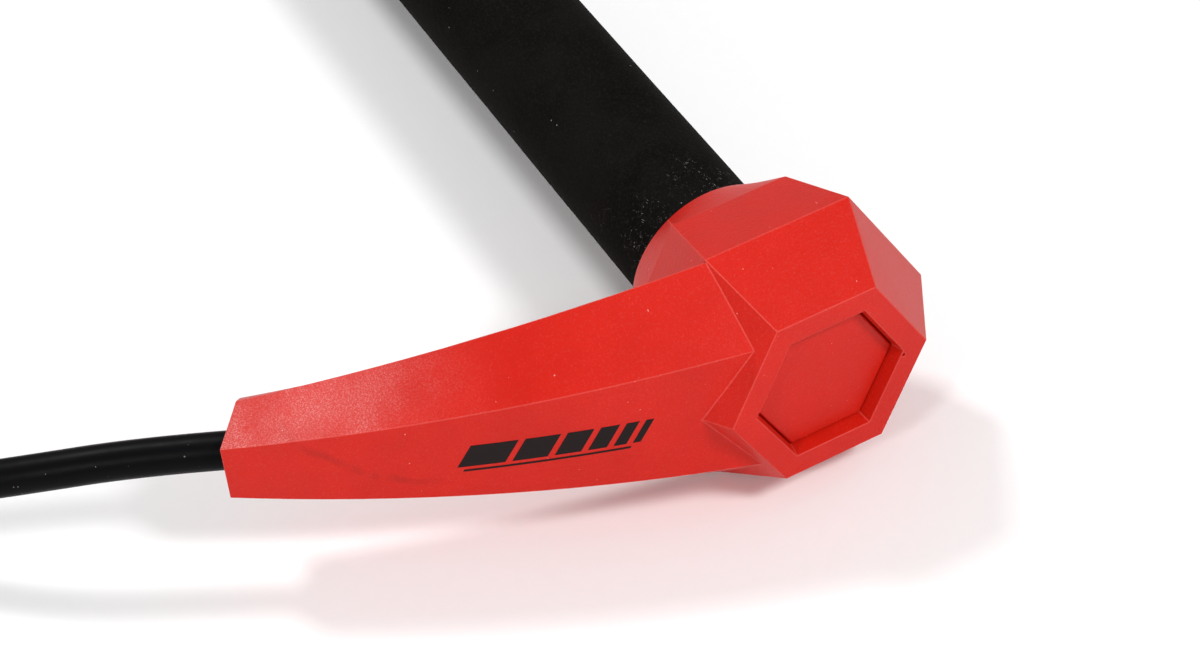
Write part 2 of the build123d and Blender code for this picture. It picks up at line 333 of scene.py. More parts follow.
def curls_group():
    """Fine curly hairs: short runs of the contour lines of a noise."""
    defaults = {"Vector": None, "Scale": 300.0, "Width": 0.012, "Share": 0.5}
    tree, taken, given = group("Curls", defaults, ["Mask"])
    field = noise(tree, taken["Vector"], taken["Scale"], 1.0, 0.5, 1.2)
    off = math_node(tree, "ABSOLUTE", math_node(tree, "SUBTRACT", field, 0.5))
    line = math_node(tree, "SUBTRACT", 1.0, ramp(tree, off, 0.0, taken["Width"]))
    pieces = noise(tree, taken["Vector"], math_node(tree, "MULTIPLY", taken["Scale"], 1.7), 1.0)
    threshold = math_node(tree, "SUBTRACT", 0.78, math_node(tree, "MULTIPLY", taken["Share"], 0.4))
    kept = math_node(tree, "GREATER_THAN", pieces, threshold)
    tree.links.new(math_node(tree, "MULTIPLY", line, kept), given["Mask"])
    return tree


def weave_group():
    """Plain weave on a UV map: two sets of rounded ribs, taking turns to lie on top."""
    tree, taken, given = group("Weave", {"Vector": None, "Across": 24.0, "Along": 60.0}, ["Height", "Gap"])
    split = add_node(tree, "ShaderNodeSeparateXYZ")
    tree.links.new(taken["Vector"], split.inputs[0])
    ribs = []
    for axis, count in (("X", "Along"), ("Y", "Across")):
        turns = math_node(tree, "MULTIPLY", split.outputs[axis], taken[count])
        ribs.append(math_node(tree, "SINE", math_node(tree, "MULTIPLY", turns, math.pi)))
    over = math_node(tree, "MULTIPLY", ribs[0], ribs[1])
    tree.links.new(math_node(tree, "MULTIPLY_ADD", over, 0.5, 0.5), given["Height"])
    edge = math_node(tree, "MINIMUM", *[math_node(tree, "ABSOLUTE", rib) for rib in ribs])
    tree.links.new(math_node(tree, "SUBTRACT", 1.0, ramp(tree, edge, 0.05, 0.35)), given["Gap"])
    return tree


def make_groups():
    for maker in (grain_group, cloud_group, specks_group, scratches_group, curls_group, weave_group):
        maker()


# Materials


def finish_of(name):
    return bpy.data.materials["finish_" + name]


class Finish:
    """A material under construction: its tree, its Principled shader and its object coordinates."""

    def __init__(self, name, **constants):
        self.material = bpy.data.materials.new("finish_" + name)
        self.material.use_nodes = True
        self.tree = self.material.node_tree
        self.shader = self.tree.nodes["Principled BSDF"]
        self.coordinates = add_node(self.tree, "ShaderNodeTexCoord")
        self.here = self.coordinates.outputs["Object"]
        set_inputs(self.shader, **constants)

    def group(self, name, output, **values):
        node = add_node(self.tree, "ShaderNodeGroup", node_tree=bpy.data.node_groups[name])
        self.tree.links.new(values.pop("vector", self.here), node.inputs["Vector"])
        set_inputs(node, **values)
        return node.outputs[output]

    def noise(self, scale, **values):
        return noise(self.tree, self.here, scale, **values)

    def math(self, operation, *values):
        return math_node(self.tree, operation, *values)

    def ramp(self, value, low, high):
        return ramp(self.tree, value, low, high)

    def mix(self, factor, first, second):
        return mix_colours(self.tree, factor, first, second)

    def feed(self, **sockets):
        for name, value in sockets.items():
            self.tree.links.new(value, self.shader.inputs[name.replace("_", " ")])

    def bump(self, *layers):
        """Bump nodes in a chain, one for each (height, strength, distance)."""
        normal = None
        for height, strength, distance in layers:
            node = add_node(self.tree, "ShaderNodeBump")
            set_inputs(node, Strength=strength, Distance=distance)
            self.tree.links.new(height, node.inputs["Height"])
            if normal:
                self.tree.links.new(normal, node.inputs["Normal"])
            normal = node.outputs["Normal"]
        self.tree.links.new(normal, self.shader.inputs["Normal"])


def flow_mark(finish):
    """A faint dark flow line across the right tail, wandering and broken by noise.

    The share along it is linear in Y, and its height in Z is a parabola of that share."""
    stretch, shift = -48.5, -1.6
    bend, tilt, level = 0.0083, 0.0030, 0.0208
    wander, line_core, line_edge = 0.0050, 0.0002, 0.0016
    split = add_node(finish.tree, "ShaderNodeSeparateXYZ")
    finish.tree.links.new(finish.here, split.inputs[0])
    along = finish.math("MULTIPLY_ADD", split.outputs["Y"], stretch, shift)
    height = finish.math("MULTIPLY_ADD", finish.math("MULTIPLY", along, along), bend, level)
    height = finish.math("MULTIPLY_ADD", along, tilt, height)
    strayed = finish.math("MULTIPLY_ADD", finish.noise(140.0, detail=3.0), wander, -wander / 2)
    above = finish.math("SUBTRACT", split.outputs["Z"], height)
    off = finish.math("ABSOLUTE", finish.math("ADD", above, strayed))
    band = finish.math("SUBTRACT", 1.0, finish.ramp(off, line_core, line_edge))
    fade_out = finish.math("SUBTRACT", 1.0, finish.ramp(along, 0.85, 1.1))
    ends = finish.math("MULTIPLY", finish.ramp(along, -0.25, 0.2), fade_out)
    right = finish.ramp(split.outputs["X"], 0.150, 0.156)
    broken = finish.ramp(finish.noise(330.0, detail=2.0), 0.30, 0.60)
    line = finish.math("MULTIPLY", band, ends)
    return finish.math("MULTIPLY", line, finish.math("MULTIPLY", right, broken))


def painted_sheen_end(finish):
    """Painted sheen on each tail's end, standing in for the back softbox's speckled highlight: far forward
    and facing up, broken into fine points by two noises.
    """
    split = add_node(finish.tree, "ShaderNodeSeparateXYZ")
    finish.tree.links.new(finish.here, split.inputs[0])
    facing = add_node(finish.tree, "ShaderNodeSeparateXYZ")
    finish.tree.links.new(finish.coordinates.outputs["Normal"], facing.inputs[0])
    forward = finish.math("SUBTRACT", 1.0, finish.ramp(split.outputs["Y"], -0.058, -0.014))
    upward = finish.ramp(facing.outputs["Z"], 0.45, 0.70)
    cloudy = finish.ramp(finish.noise(110.0, detail=3.0), 0.35, 0.65)
    patches = finish.math("MULTIPLY_ADD", cloudy, 0.6, 0.4)
    points = finish.ramp(finish.noise(3600.0, detail=2.0, roughness=0.7), 0.48, 0.62)
    area = finish.math("MULTIPLY", finish.math("MULTIPLY", forward, upward), patches)
    return finish.math("MULTIPLY", area, finish.math("MULTIPLY_ADD", points, 0.8, 0.2))


def rubber(name, base, wear_and_highlight_share):
    """Satin moulded rubber: grain, clouding, a flow line, a painted sheen on each tail's end, dusty specks
    and short pale scratches.
    """
    dust_and_sheen = tuple(settings("colours").dust_and_sheen)
    finish = Finish(name, Specular_IOR_Level=0.18)
    cloud = finish.group("Cloud", "Value", Scale=26.0)
    bloom = finish.group("Fine grain", "Bloom", Scale=2600.0)
    specks = finish.group("Specks", "Mask", Scale=430.0, Size=0.05, Share=0.14)
    scratches = finish.group("Scratches", "Mask", Scale=86.0, Width=0.045, Share=0.20)
    deep = tuple(0.88 * part for part in base)
    shade = finish.mix(cloud, deep, base)
    # The share given to rubber() makes it paler and rougher; on the rounded edges this is partly wear,
    # partly a painted highlight line.
    pale = finish.math("MULTIPLY", bloom, finish.math("MULTIPLY_ADD", cloud, 0.03, 0.02 + wear_and_highlight_share))
    shade = finish.mix(pale, shade, dust_and_sheen)
    flow_line = tuple(settings("colours").flow_line)
    shade = finish.mix(finish.math("MULTIPLY", flow_mark(finish), 0.30), shade, flow_line)
    # Painted sheen: each tail's upward-facing end is mixed towards the pale speck colour, as a painted
    # highlight.
    shade = finish.mix(finish.math("MULTIPLY", painted_sheen_end(finish), 0.42), shade, dust_and_sheen)
    marks = finish.math("MULTIPLY", finish.math("MAXIMUM", specks, scratches), 0.55)
    finish.feed(Base_Color=finish.mix(marks, shade, dust_and_sheen))
    finish.feed(Roughness=finish.math("MULTIPLY_ADD", cloud, 0.07, 0.36 + wear_and_highlight_share))
    grain = finish.group("Fine grain", "Height", Scale=2600.0)
    finish.bump((finish.noise(90.0, detail=1.0), 0.10, 0.0006), (grain, 1.0, 0.00011))
    return finish.material


def suede(colours):
    """Brushed synthetic suede: nap patches, short fibres and lint that gathers towards the caps."""
    finish = Finish("grip_suede", Specular_IOR_Level=0.03, Sheen_Weight=0.004, Sheen_Roughness=0.45)
    finish.shader.inputs["Sheen Tint"].default_value = (*colours.suede_sheen, 1.0)
    nap = finish.group("Cloud", "Value", Scale=42.0)
    fibres = finish.noise(1900.0, detail=4.0, roughness=0.7)
    shade = finish.mix(nap, colours.suede, colours.suede_nap)
    bright = tuple(1.6 * part for part in colours.suede_nap)
    shade = finish.mix(finish.ramp(fibres, 0.45, 0.75), shade, bright)
    split = add_node(finish.tree, "ShaderNodeSeparateXYZ")
    finish.tree.links.new(finish.here, split.inputs[0])
    near_cap = finish.ramp(finish.math("ABSOLUTE", split.outputs["X"]), 0.118, 0.152)
    patches = finish.ramp(finish.noise(60.0, detail=2.0), 0.42, 0.62)
    amount = finish.math("MULTIPLY", near_cap, patches)
    specks = finish.group("Specks", "Mask", Scale=700.0, Size=0.07, Share=0.60)
    hairs = finish.group("Scratches", "Mask", Scale=230.0, Width=0.075, Share=0.85)
    rare = finish.math("MULTIPLY", finish.group("Specks", "Mask", Scale=420.0, Size=0.05, Share=0.16), 0.5)
    curly = finish.group("Curls", "Mask", Scale=620.0, Width=0.014, Share=0.55)
    curls = finish.math("MULTIPLY", curly, 0.40)
    strands = finish.math("MAXIMUM", finish.math("MULTIPLY", hairs, 0.6), curls)
    fluff = finish.math("MAXIMUM", finish.math("MULTIPLY", specks, 0.35), strands)
    lint = finish.math("MULTIPLY", fluff, amount)
    finish.feed(Base_Color=finish.mix(finish.math("MAXIMUM", lint, rare), shade, colours.lint))
    finish.feed(Roughness=finish.math("MULTIPLY_ADD", nap, 0.12, 0.84))
    finish.bump((finish.noise(500.0, detail=3.0), 0.35, 0.0002), (fibres, 0.5, 0.0001))
    return finish.material


def rope_jacket(colours):
    """Smooth coated jacket: slightly uneven, with dull patches, specks of lint and a few hairs."""
    finish = Finish("rope_jacket", Specular_IOR_Level=0.05)
    cloud = finish.group("Cloud", "Value", Scale=55.0)
    specks = finish.group("Specks", "Mask", Scale=450.0, Size=0.06, Share=0.40)
    hairs = finish.group("Scratches", "Mask", Scale=90.0, Width=0.05, Share=0.45)
    curls = finish.math("MULTIPLY", finish.group("Curls", "Mask", Scale=240.0, Width=0.02, Share=0.12), 0.5)
    lint = finish.math("MULTIPLY", finish.math("MAXIMUM", specks, hairs), 0.4)
    marks = finish.math("MAXIMUM", lint, curls)
    finish.feed(Base_Color=finish.mix(marks, colours.rope, colours.lint))
    finish.feed(Roughness=finish.math("MULTIPLY_ADD", cloud, 0.10, 0.36))
    uneven, fine = finish.noise(220.0, detail=2.0), finish.noise(1400.0, detail=3.0)
    finish.bump((uneven, 0.12, 0.0004), (fine, 0.1, 0.0001))
    return finish.material


def printed_ink(colours):
    """Matt pad-printed ink that takes on the rubber's grain, a little thin in places."""
    finish = Finish("printed_ink", Specular_IOR_Level=0.1)
    thin = finish.ramp(finish.group("Fine grain", "Height", Scale=1500.0), 0.62, 0.85)
    share = finish.math("MULTIPLY", thin, 0.35)
    finish.feed(Base_Color=finish.mix(share, colours.ink, tuple(colours.thin_ink)))
    finish.feed(Roughness=finish.math("MULTIPLY_ADD", thin, 0.2, 0.48))
    finish.bump((finish.group("Fine grain", "Height", Scale=1500.0), 0.3, 0.0001))
    return finish.material


def strap_webbing(colours):
    """Woven strap with a plain weave on its UV map, painted shade in its gaps and low parts, and a soft fuzz
    over it.
    """
    finish = Finish("tie_webbing", Specular_IOR_Level=0.3, Sheen_Weight=0.25)
    uv = finish.coordinates.outputs["UV"]
    height = finish.group("Weave", "Height", vector=uv, Across=26.0, Along=170.0)
    gap = finish.group("Weave", "Gap", vector=uv, Across=26.0, Along=170.0)
    # Painted shade: the weave's low parts are darker and its crowns lighter.
    shade = finish.mix(height, colours.webbing, tuple(2.2 * part for part in colours.webbing))
    # Painted shade in the gaps between the threads.
    deep = finish.math("MULTIPLY", gap, 0.8)
    finish.feed(Base_Color=finish.mix(deep, shade, tuple(colours.webbing_gap_shade)))
    finish.feed(Roughness=finish.math("MULTIPLY_ADD", height, 0.1, 0.75))
    finish.bump((height, 0.6, 0.0002), (finish.noise(2600.0, detail=3.0), 0.3, 0.0001))
    return finish.material


def metal(name, base, roughness, line_scale):
    """Drawn or turned metal: fine lines, with dull patches."""
    finish = Finish(name, Metallic=1.0)
    lines = add_node(finish.tree, "ShaderNodeMapping")
    set_inputs(lines, Scale=(0.06, 1.0, 1.0))
    finish.tree.links.new(finish.here, lines.inputs["Vector"])
    streaks = noise(finish.tree, lines.outputs[0], line_scale, 3.0)
    cloud = finish.group("Cloud", "Value", Scale=90.0)
    finish.feed(Base_Color=finish.mix(cloud, tuple(0.88 * part for part in base), base))
    finish.feed(Roughness=finish.math("MULTIPLY_ADD", streaks, 0.18, roughness))
    finish.bump((streaks, 0.15, 0.00005))
    return finish.material


def plain_polymer(name, base, roughness, grain):
    """Moulded nylon or closed-cell foam: a clouded base under a grain of its own size."""
    finish = Finish(name, Specular_IOR_Level=0.45)
    cloud = finish.group("Cloud", "Value", Scale=70.0)
    finish.feed(Base_Color=finish.mix(cloud, tuple(0.85 * part for part in base), base))
    finish.feed(Roughness=finish.math("MULTIPLY_ADD", cloud, 0.1, roughness))
    finish.bump((finish.group("Fine grain", "Height", Scale=grain), 0.4, 0.00015))
    return finish.material


def braided_core(colours):
    """Pale braided core rope: slanting strands that cross on the UV map, with painted shade in the gaps and
    low parts.
    """
    finish = Finish("core_rope", Specular_IOR_Level=0.35)
    uv = finish.coordinates.outputs["UV"]
    height = finish.group("Weave", "Height", vector=uv, Across=8.0, Along=64.0)
    gap = finish.group("Weave", "Gap", vector=uv, Across=8.0, Along=64.0)
    # Painted shade: the strands' low parts are darker.
    shade = finish.mix(height, tuple(0.7 * part for part in colours.core_rope), colours.core_rope)
    # Painted shade in the gaps between the strands.
    deep = finish.math("MULTIPLY", gap, 0.6)
    finish.feed(Base_Color=finish.mix(deep, shade, tuple(colours.core_gap_shade)))
    finish.feed(Roughness=finish.math("MULTIPLY_ADD", height, 0.1, 0.6))
    finish.bump((height, 0.7, 0.0003))
    return finish.material


def make_materials():
    colours = settings("colours")
    rubber("cap_rubber", tuple(colours.cap), 0.0)
    # The rounded edges: partly rubbed wear, partly a painted highlight line along each ridge.
    rubber("cap_edges", tuple(colours.cap_wear_and_highlight), 0.05)
    rubber("cover_rubber", tuple(1.02 * part for part in colours.cap), 0.01)
    suede(colours)
    rope_jacket(colours)
    printed_ink(colours)
    strap_webbing(colours)
    braided_core(colours)
    metal("screw_steel", tuple(colours.steel), 0.28, 2500.0)
    metal("tube_aluminium", tuple(colours.aluminium), 0.34, 900.0)
    plain_polymer("washer_plastic", tuple(colours.nylon), 0.42, 1800.0)
    plain_polymer("insert_plastic", tuple(colours.insert), 0.5, 1800.0)
    plain_polymer("grip_foam", tuple(colours.foam), 0.8, 900.0)


# Meshes


def surface(name, grid, closed_u=False, closed_v=False, uv=None):
    """A mesh from an array of points, one quad between each four neighbours. grid is (rows, columns, 3)."""
    rows, columns = grid.shape[:2]
    down = np.arange(rows if closed_u else rows - 1)
    across = np.arange(columns if closed_v else columns - 1)
    i, j = np.meshgrid(down, across, indexing="ij")
    after_i, after_j = (i + 1) % rows, (j + 1) % columns
    corners = [(i, j), (i, after_j), (after_i, after_j), (after_i, j)]
    quads = np.stack([(a * columns + b).ravel() for a, b in corners], axis=1)
    mesh = bpy.data.meshes.new(name)
    mesh.from_pydata(grid.reshape(-1, 3), [], quads)
    mesh.polygons.foreach_set("use_smooth", np.ones(len(quads), bool))
    if uv is not None:
        u, v = i / rows, j / columns
        next_u, next_v = (i + 1) / rows, (j + 1) / columns
        places = [(u, v), (u, next_v), (next_u, next_v), (next_u, v)]
        pairs = [np.stack([a * uv[0], b * uv[1]], -1).reshape(-1, 2) for a, b in places]
        layer = mesh.uv_layers.new(name="UVMap")
        layer.data.foreach_set("uv", np.stack(pairs, axis=1).reshape(-1).astype(np.float32))
    mesh.validate()
    return mesh


def piece(name, mesh, material, body=ROOT, replaced=()):
    """An object at the origin that rides on a body and stands for the CAD nodes it replaces."""
    thing = bpy.data.objects.new(name, mesh)
    bpy.context.scene.collection.objects.link(thing)
    thing.data.materials.append(finish_of(material))
    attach(thing, body)
    if replaced:
        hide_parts(*replaced)
    return thing


def outward(thing):
    """Turns the faces of a closed mesh outwards."""
    mesh = thing.data
    corners = np.zeros(len(mesh.vertices) * 3, np.float32)
    mesh.vertices.foreach_get("co", corners)
    corners = corners.reshape(-1, 3)
    mesh.calc_loop_triangles()
    triangles = np.zeros(len(mesh.loop_triangles) * 3, np.int32)
    mesh.loop_triangles.foreach_get("vertices", triangles)
    a, b, c = (corners[triangles.reshape(-1, 3)[:, k]] for k in range(3))
    if np.einsum("ij,ij->i", a, np.cross(b, c)).sum() < 0:
        mesh.flip_normals()


def tube(name, line, radius, sides):
    """A closed round tube: circles carried along a closed line, square to it."""
    along = np.roll(line, -1, axis=0) - np.roll(line, 1, axis=0)
    along /= np.linalg.norm(along, axis=1)[:, None]
    side = np.cross(along, (0.0, 0.0, 1.0))
    side /= np.linalg.norm(side, axis=1)[:, None]
    up = np.cross(side, along)
    turn = np.linspace(0, 2 * math.pi, sides, endpoint=False)
    ring = np.cos(turn)[None, :, None] * side[:, None] + np.sin(turn)[None, :, None] * up[:, None]
    return surface(name, line[:, None] + radius * ring, True, True, uv=(1.0, 1.0))


def turn_radius(sizes, turn):
    """The coil's radius after so many turns: it shrinks by a pitch a turn until half way, then grows."""
    middle = sizes.turns / 2
    return sizes.coil_radius - sizes.pitch * (middle - abs(middle - turn))


def rounded_cad(node, width, segments, materials):
    """Gives a CAD node moulded edges: facets in one plane are joined, and sharp edges get a small round."""
    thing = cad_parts[node]
    mesh = thing.data
    mesh.polygons.foreach_set("use_smooth", np.ones(len(mesh.polygons), bool))
    mesh.materials.clear()
    for name in materials:
        mesh.materials.append(finish_of(name))
    weld = thing.modifiers.new("Join corners", "WELD")
    weld.merge_threshold = 0.005 * MM
    planes = thing.modifiers.new("Join planes", "DECIMATE")
    planes.decimate_type = "DISSOLVE"
    planes.angle_limit = math.radians(0.6)
    bevel = thing.modifiers.new("Moulded edges", "BEVEL")
    bevel.width = width
    bevel.segments = segments
    bevel.limit_method = "ANGLE"
    bevel.angle_limit = math.radians(20)
    bevel.material = len(materials) - 1
    bevel.use_clamp_overlap = False
    shade = thing.modifiers.new("Even shading", "WEIGHTED_NORMAL")
    shade.keep_sharp = False
    shade.weight = 70


def repaint(node, material):
    """Gives a CAD node, whose shape is right, its detailed finish."""
    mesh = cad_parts[node].data
    mesh.materials.clear()
    mesh.materials.append(finish_of(material))


# Operators: one for each piece or group of like pieces, and one for the stage


class TOWHANDLE_OT_stage(bpy.types.Operator):
    """Set up the pale floor, the soft lights and the camera."""

    bl_idname = "tow_handle.stage"
    bl_label = "Stage"

    softboxes = (
        ("right", (0.797, 0.424, 0.935), 0.26),
        ("left", (0.584, -0.935, 0.689), 0.20),
        ("back", (-0.74, -0.26, 1.11), 0.26),
    )

    def execute(self, context):
        stage = settings("stage")
        self.floor(settings("colours").floor)
        self.walls(stage.ambient)
        self.camera(stage)
        aim = Vector(stage.aim)
        for name, offset, size in self.softboxes:
            power = getattr(stage, name + "_power")
            self.softbox(name + "_softbox", power, aim + Vector(offset), aim, size)
        context.scene.view_settings.view_transform = "Standard"
        return {"FINISHED"}

    def floor(self, base):
        """A flat square under the handle."""
        half = 3.0
        steps = np.linspace(-half, half, 9)
        x, y = np.meshgrid(steps, steps, indexing="ij")
        thing = bpy.data.objects.new("floor", surface("floor", np.stack([x, y, 0 * x], -1)))
        bpy.context.scene.collection.objects.link(thing)
        finish = Finish("floor", Specular_IOR_Level=0.2)
        grain = finish.noise(300.0, detail=2.0)
        finish.feed(Base_Color=finish.mix(grain, tuple(0.98 * part for part in base), tuple(base)))
        finish.feed(Roughness=finish.math("MULTIPLY_ADD", grain, 0.1, 0.7))
        thing.data.materials.append(finish.material)

    def walls(self, strength):
        """White studio walls all round, as an even background light."""
        world = bpy.data.worlds.new("studio")
        world.use_nodes = True
        background = world.node_tree.nodes["Background"]
        background.inputs["Color"].default_value = (1.0, 1.0, 1.0, 1.0)
        background.inputs["Strength"].default_value = strength
        bpy.context.scene.world = world

    def softbox(self, name, power, place, aim, size):
        """A square lamp that faces the aim."""
        light = bpy.data.lights.new(name, "AREA")
        light.shape = "RECTANGLE"
        light.size, light.size_y, light.energy = size, size, power
        lamp = bpy.data.objects.new(name, light)
        bpy.context.scene.collection.objects.link(lamp)
        turn = (place - aim).to_track_quat("Z", "Y")
        lamp.matrix_world = Matrix.Translation(place) @ turn.to_matrix().to_4x4()

    def camera(self, stage):
        """Looks at the aim from its azimuth and elevation, then rolls about the line of sight."""
        flat = math.cos(stage.elevation)
        x, y = math.sin(stage.azimuth) * flat, -math.cos(stage.azimuth) * flat
        away = Vector((x, y, math.sin(stage.elevation)))
        eye = bpy.data.cameras.new("camera")
        eye.lens, eye.sensor_width, eye.clip_start = stage.lens, 36.0, 0.01
        thing = bpy.data.objects.new("camera", eye)
        bpy.context.scene.collection.objects.link(thing)
        turn = away.to_track_quat("Z", "Y").to_matrix().to_4x4() @ Matrix.Rotation(stage.roll, 4, "Z")
        thing.matrix_world = Matrix.Translation(Vector(stage.aim) + stage.distance * away) @ turn
        bpy.context.scene.camera = thing


class TOWHANDLE_OT_bridle(bpy.types.Operator):
    """Lay the bridle rope from the right tail, through its coil, to the left tail."""

    bl_idname = "tow_handle.bridle"
    bl_label = "Bridle rope"

    right_lead = (
        (0.14822, -0.06099, 0.02537),
        (0.14060, -0.07540, 0.02475),
        (0.13090, -0.09600, 0.02240),
        (0.11850, -0.11380, 0.01730),
        (0.10300, -0.12960, 0.01160),
        (0.08450, -0.14320, 0.00700),
        (0.06350, -0.15420, 0.00440),
        (0.04050, -0.16220, 0.00360),
        (0.01700, -0.16680, 0.00420),
    )
    left_lead = (
        (-0.14822, -0.06099, 0.02537),
        (-0.14030, -0.07570, 0.02460),
        (-0.13020, -0.09630, 0.02180),
        (-0.11780, -0.11460, 0.01640),
        (-0.10260, -0.13100, 0.01040),
        (-0.08420, -0.14520, 0.00620),
        (-0.06400, -0.15600, 0.00560),
        (-0.04350, -0.16340, 0.00890),
        (-0.02450, -0.16700, 0.01170),
        (-0.00800, -0.16760, 0.01190),
    )

    climb_start, climb_run = -0.12, 0.26

    def coil(self, sizes):
        """The turns, clockwise from -Y: inwards on the floor, up one layer at half way, and outwards."""
        points = []
        each = sizes.points_per_turn
        for step in range(sizes.turns * each):
            turn = step / each
            climb = (turn - sizes.turns / 2 - self.climb_start) / self.climb_run
            climb = min(max(climb, 0.0), 1.0)
            height = sizes.first_layer + sizes.layer_rise * climb * climb * (3 - 2 * climb)
            bearing = -math.pi / 2 - 2 * math.pi * turn
            reach = turn_radius(sizes, turn) / math.cos(math.pi / each)
            x = sizes.coil_x + reach * math.cos(bearing)
            y = sizes.coil_y + reach * math.sin(bearing)
            points.append((x, y, height))
        return points

    def execute(self, context):
        sizes = settings("rope")
        route = [*self.right_lead, *self.coil(sizes), *reversed(self.left_lead)]
        curve = bpy.data.curves.new("bridle_rope", "CURVE")
        curve.dimensions = "3D"
        curve.bevel_depth = sizes.diameter / 2
        curve.bevel_resolution = 8
        curve.resolution_u = 8
        spline = curve.splines.new("NURBS")
        spline.points.add(len(route) - 1)
        spline.points.foreach_set("co", [number for point in route for number in (*point, 1.0)])
        spline.order_u = 3
        spline.use_endpoint_u = True
        rope = piece(
            "bridle_rope",
            curve,
            "rope_jacket",
            replaced=("rope_lead_right", "rope_lead_left", "rope_coil"),
        )
        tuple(self.right_lead[0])
        return {"FINISHED"}


class TOWHANDLE_OT_coil_strap(bpy.types.Operator):
    """Wrap the strap round the coil's three strands as a closed, rounded band."""

    bl_idname = "tow_handle.coil_strap"
    bl_label = "Coil strap"

    clearance = 0.06 * MM
    corner_steps = 14

    def execute(self, context):
        sizes = settings("rope")
        upper = sizes.first_layer + sizes.layer_rise
        rows = ((0.25, sizes.first_layer), (2.25, upper), (1.25, sizes.first_layer))
        strands = [(turn_radius(sizes, turn), height) for turn, height in rows]
        reach = sizes.diameter / 2 + self.clearance
        inner = self.hull(strands, reach, self.corner_steps)
        outer = self.hull(strands, reach + sizes.tie_thickness, self.corner_steps)
        self.band(sizes, inner, outer)
        return {"FINISHED"}

    def hull(self, centres, reach, steps):
        """The taut outline round three circles: an arc about each centre, from normal to normal."""
        centres = np.array(centres)
        sides = np.roll(centres, -1, axis=0) - centres
        normals = np.arctan2(sides[:, 0], -sides[:, 1]) + math.pi
        outline = []
        for here, before, after in zip(centres, np.roll(normals, 1), normals):
            sweep = (after - before + math.pi) % (2 * math.pi) - math.pi
            turn = before + sweep * np.linspace(0, 1, steps)
            outline.append(here + reach * np.stack([np.cos(turn), np.sin(turn)], 1))
        return np.concatenate(outline)

    def band(self, sizes, inner, outer):
        """The outline carried across the strap's width, bent round the coil's middle, with thinner edges."""
        share = np.linspace(-0.5, 0.5, 13)
        edge_soft = 1 - 0.25 * np.clip((np.abs(share) - 0.42) / 0.08, 0, 1)
        turn = math.pi - share * sizes.tie_width / sizes.coil_radius
        middle = (inner + outer) / 2
        half = (outer - inner) / 2
        across = [middle[:, None] + side * half[:, None] * edge_soft[None, :, None] for side in (1, -1)]
        section = np.concatenate([across[0], across[1][:, ::-1]], axis=1)
        bearing = np.concatenate([turn, turn[::-1]])
        x = sizes.coil_x + section[..., 0] * np.cos(bearing)[None]
        y = sizes.coil_y + section[..., 0] * np.sin(bearing)[None]
        grid = np.stack([x, y, section[..., 1]], -1)
        mesh = surface("coil_strap", grid, True, True, uv=(1.0, 1.0))
        outward(piece("coil_strap", mesh, "tie_webbing", replaced=("coil_tie",)))


class TOWHANDLE_OT_caps(bpy.types.Operator):
    """Give both end caps moulded edges and satin rubber."""

    bl_idname = "tow_handle.caps"
    bl_label = "End caps"

    def execute(self, context):
        width = settings("cap").edge_round
        for side in SIDES:
            rounded_cad(f"end_cap_{side}", width, 3, ("cap_rubber", "cap_edges"))
        return {"FINISHED"}


class TOWHANDLE_OT_covers(bpy.types.Operator):
    """Give both knot covers rounded edges and satin rubber."""

    bl_idname = "tow_handle.covers"
    bl_label = "Knot covers"

    def execute(self, context):
        for side in SIDES:
            rounded_cad(f"knot_cover_{side}", settings("cap").cover_round, 2, ("cover_rubber",))
        return {"FINISHED"}


